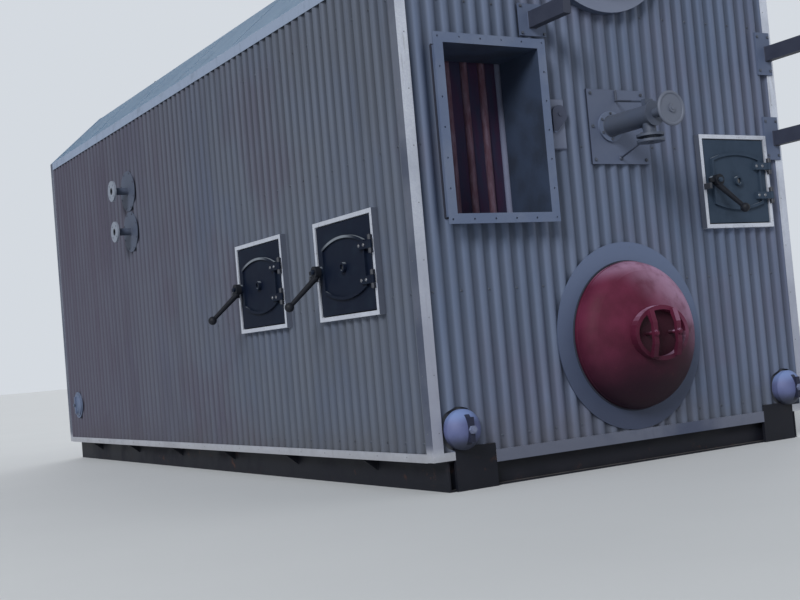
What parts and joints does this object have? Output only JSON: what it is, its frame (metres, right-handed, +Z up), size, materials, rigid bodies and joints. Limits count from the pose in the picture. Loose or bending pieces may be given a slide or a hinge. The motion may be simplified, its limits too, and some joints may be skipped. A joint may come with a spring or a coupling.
{
  "type": "industrial boiler",
  "caption": "Packaged two-drum water-tube boiler in corrugated cladding on a steel skid, with hinged cleaning doors, a flanged flue opening and a soot blower.",
  "frame": {"origin": "on the ground, at the underside of the skid's middle cross beam", "axes": "+X across the front from left to right, +Y from the front to the back along the length, +Z up"},
  "size_m": [3.9138, 8.4158, 4.38],
  "materials": {
    "cladding": "satin, lightly dusty",
    "wall_panel": "matte",
    "roof_sheet": "satin",
    "bright_trim": "dull galvanised",
    "skid_black": "matte, dusty",
    "drum_red": "semi-gloss",
    "grey_paint": "satin",
    "silver_paint": "aluminium paint, semi-gloss",
    "tube_primer": "red primer, matte",
    "black_iron": "black enamel, satin",
    "lever_iron": "black paint, worn",
    "bracket_paint": "satin"
  },
  "bodies": {
    "casing": {"skid_runners": "skid_black", "skid_beams": "skid_black", "casing_floor": "wall_panel", "front_wall_left": "wall_panel", "front_wall_centre": "wall_panel", "front_wall_right": "wall_panel", "back_wall": "wall_panel", "left_wall_bands": "wall_panel", "left_wall_piers": "wall_panel", "right_wall": "wall_panel", "roof_slopes": "roof_sheet", "roof_deck": "roof_sheet", "drum_lagging": "roof_sheet", "front_cladding": "cladding", "back_cladding": "cladding", "left_cladding": "cladding", "right_cladding": "cladding", "wall_trims": "bright_trim", "roof_trims": "bright_trim", "header_feet": "skid_black", "lower_drum": "drum_red", "upper_drum": "drum_red", "drum_rings": "grey_paint", "manhole_covers": "drum_red", "manhole_yokes": "drum_red", "side_headers": "silver_paint", "flue_duct": "grey_paint", "tube_row_1": "tube_primer", "tube_row_2": "tube_primer", "tube_row_3": "tube_primer", "front_door_frame": "bright_trim", "left_door_frame_1": "bright_trim", "left_door_frame_2": "bright_trim", "right_doors": "black_iron", "blower_body": "grey_paint", "gauge_nozzles": "grey_paint", "handholes": "grey_paint", "peephole_tube": "grey_paint", "platform_brackets": "bracket_paint", "top_nozzles": "grey_paint", "lifting_lugs": "bracket_paint"},
    "front_door": {"front_door": "black_iron"},
    "front_lever": {"front_door_lever": "lever_iron"},
    "left_door_1": {"left_door_1": "black_iron"},
    "left_lever_1": {"left_lever_1": "lever_iron"},
    "left_door_2": {"left_door_2": "black_iron"},
    "left_lever_2": {"left_lever_2": "lever_iron"},
    "peephole_cover": {"peephole_cover": "grey_paint"},
    "blower_wheel": {"blower_wheel": "grey_paint"}
  },
  "joints": [
    {"name": "front_door_hinge", "type": "hinge", "parent": "casing", "child": "front_door", "pos_m": [1.421, -3.775, 1.862], "axis": [0, 0, 1], "range_deg": [0, 100]},
    {"name": "front_lever_turn", "type": "hinge", "parent": "front_door", "child": "front_lever", "pos_m": [0.86, -3.775, 1.862], "axis": [0, 1, 0], "range_deg": [0, 80]},
    {"name": "left_door_1_hinge", "type": "hinge", "parent": "casing", "child": "left_door_1", "pos_m": [-1.675, -3.281, 1.44], "axis": [0, 0, 1], "range_deg": [0, 110]},
    {"name": "left_lever_1_turn", "type": "hinge", "parent": "left_door_1", "child": "left_lever_1", "pos_m": [-1.675, -2.59, 1.44], "axis": [1, 0, 0], "range_deg": [0, 80]},
    {"name": "left_door_2_hinge", "type": "hinge", "parent": "casing", "child": "left_door_2", "pos_m": [-1.675, -1.971, 1.44], "axis": [0, 0, 1], "range_deg": [0, 110]},
    {"name": "left_lever_2_turn", "type": "hinge", "parent": "left_door_2", "child": "left_lever_2", "pos_m": [-1.675, -1.28, 1.44], "axis": [1, 0, 0], "range_deg": [0, 80]},
    {"name": "peephole_cover_swing", "type": "hinge", "parent": "casing", "child": "peephole_cover", "pos_m": [-0.448, -3.742, 2.301], "axis": [0, -1, 0], "range_deg": [0, 100]},
    {"name": "blower_wheel_spin", "type": "hinge", "parent": "casing", "child": "blower_wheel", "pos_m": [-0.025, -4.296, 2.23], "axis": [0, -1, 0], "continuous": true}
  ]
}
